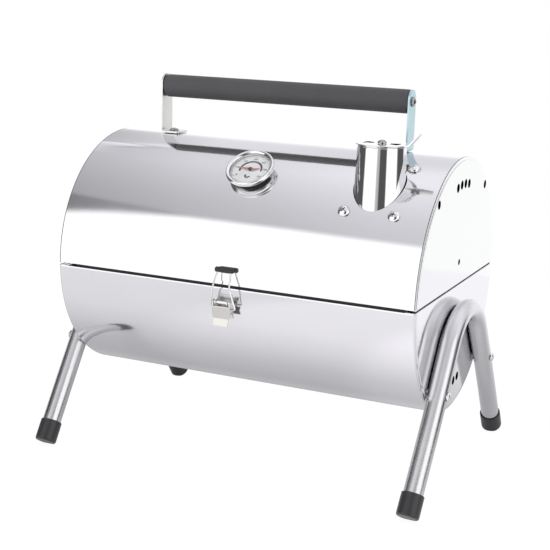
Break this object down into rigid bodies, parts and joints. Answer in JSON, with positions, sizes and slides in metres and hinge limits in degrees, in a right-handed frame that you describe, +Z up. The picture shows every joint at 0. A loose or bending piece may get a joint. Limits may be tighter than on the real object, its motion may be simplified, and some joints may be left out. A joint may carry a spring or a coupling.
{
  "type": "barrel charcoal grill",
  "caption": "Tabletop charcoal grill: a hinged drum of polished sheet on two bent tube legs, with carrying handle, chimney and damper, lid thermometer and front toggle latch.",
  "frame": {"origin": "on the ground, below the middle of the barrel", "axes": "+X along the barrel to the right as seen from the front, -Y to the front where the latch is, +Z up"},
  "size_m": [0.4484, 0.3186, 0.3983],
  "materials": {
    "polished_steel": "mirror-polished stainless sheet",
    "plated_steel": "satin zinc-plated or brushed steel",
    "bright_chrome": "bright chrome plate",
    "tinted_film": "satin steel with a pale blue protective film",
    "black_plastic": "matte black moulding",
    "black_rubber": "matte black rubber",
    "dial_white": "white printed dial",
    "needle_red": "red paint",
    "gauge_glass": "clear",
    "enamelled_iron": "black enamel on steel wire"
  },
  "bodies": {
    "base": {"base_end_plate_left": "polished_steel", "base_end_plate_right": "polished_steel", "base_shell": "polished_steel", "charcoal_grate": "enamelled_iron", "foot_cap_front_left": "black_rubber", "foot_cap_front_right": "black_rubber", "foot_cap_rear_left": "black_rubber", "foot_cap_rear_right": "black_rubber", "hinge_base_leaf_left": "plated_steel", "hinge_base_leaf_right": "plated_steel", "hinge_pin_left": "plated_steel", "hinge_pin_right": "plated_steel", "latch_base": "plated_steel", "latch_pin": "plated_steel", "leg_bolt_front_left": "bright_chrome", "leg_bolt_front_right": "bright_chrome", "leg_bolt_rear_left": "bright_chrome", "leg_bolt_rear_right": "bright_chrome", "leg_left": "plated_steel", "leg_nut_front_left": "plated_steel", "leg_nut_front_right": "plated_steel", "leg_nut_rear_left": "plated_steel", "leg_nut_rear_right": "plated_steel", "leg_right": "plated_steel", "leg_spacer_front_left": "plated_steel", "leg_spacer_front_right": "plated_steel", "leg_spacer_rear_left": "plated_steel", "leg_spacer_rear_right": "plated_steel"},
    "lid": {"lid_shell": "polished_steel", "lid_end_plate_left": "polished_steel", "lid_end_plate_right": "polished_steel", "handle_bracket_left": "plated_steel", "handle_bracket_right": "tinted_film", "handle_grip": "black_plastic", "grip_screw_left": "bright_chrome", "grip_screw_right": "bright_chrome", "handle_screw_left": "bright_chrome", "handle_screw_right": "bright_chrome", "chimney_tube": "bright_chrome", "chimney_flange": "plated_steel", "chimney_cap": "bright_chrome", "damper_screw": "bright_chrome", "thermometer_case": "bright_chrome", "thermometer_dial": "dial_white", "thermometer_glass": "gauge_glass", "thermometer_needle": "needle_red", "thermometer_stem": "plated_steel", "thermometer_nut": "plated_steel", "latch_catch": "plated_steel", "hinge_lid_leaf_left": "plated_steel", "hinge_lid_leaf_right": "plated_steel", "chimney_screw_front_left": "bright_chrome", "chimney_screw_front_right": "bright_chrome", "chimney_screw_rear_left": "bright_chrome", "chimney_screw_rear_right": "bright_chrome"},
    "damper": {"damper_disc": "bright_chrome"},
    "latch_lever": {"latch_lever": "plated_steel"},
    "latch_bail": {"latch_bail": "bright_chrome", "latch_sleeve": "black_plastic"},
    "cooking_grid": {"cooking_grid": "enamelled_iron"}
  },
  "joints": [
    {"name": "lid_hinge", "type": "hinge", "parent": "base", "child": "lid", "pos_m": [0, 0.137, 0.202], "axis": [-1, 0, 0], "range_deg": [0, 180]},
    {"name": "damper_spin", "type": "hinge", "parent": "lid", "child": "damper", "pos_m": [0.1375, -0.075, 0.3499], "axis": [0, 0, 1], "range_deg": [0, 75]},
    {"name": "latch_lever", "type": "hinge", "parent": "base", "child": "latch_lever", "pos_m": [0, -0.14, 0.187], "axis": [-1, 0, 0], "range_deg": [0, 110]},
    {"name": "latch_bail", "type": "hinge", "parent": "latch_lever", "child": "latch_bail", "pos_m": [0, -0.1385, 0.1805], "axis": [-1, 0, 0], "range_deg": [-130, 0]},
    {"name": "grid_lift", "type": "slide", "parent": "base", "child": "cooking_grid", "axis": [0, 0, 1], "range_m": [0, 0.04]}
  ],
  "couplings": [
    {"joint": "latch_bail", "follows": "latch_lever", "ratio": -1.15}
  ]
}
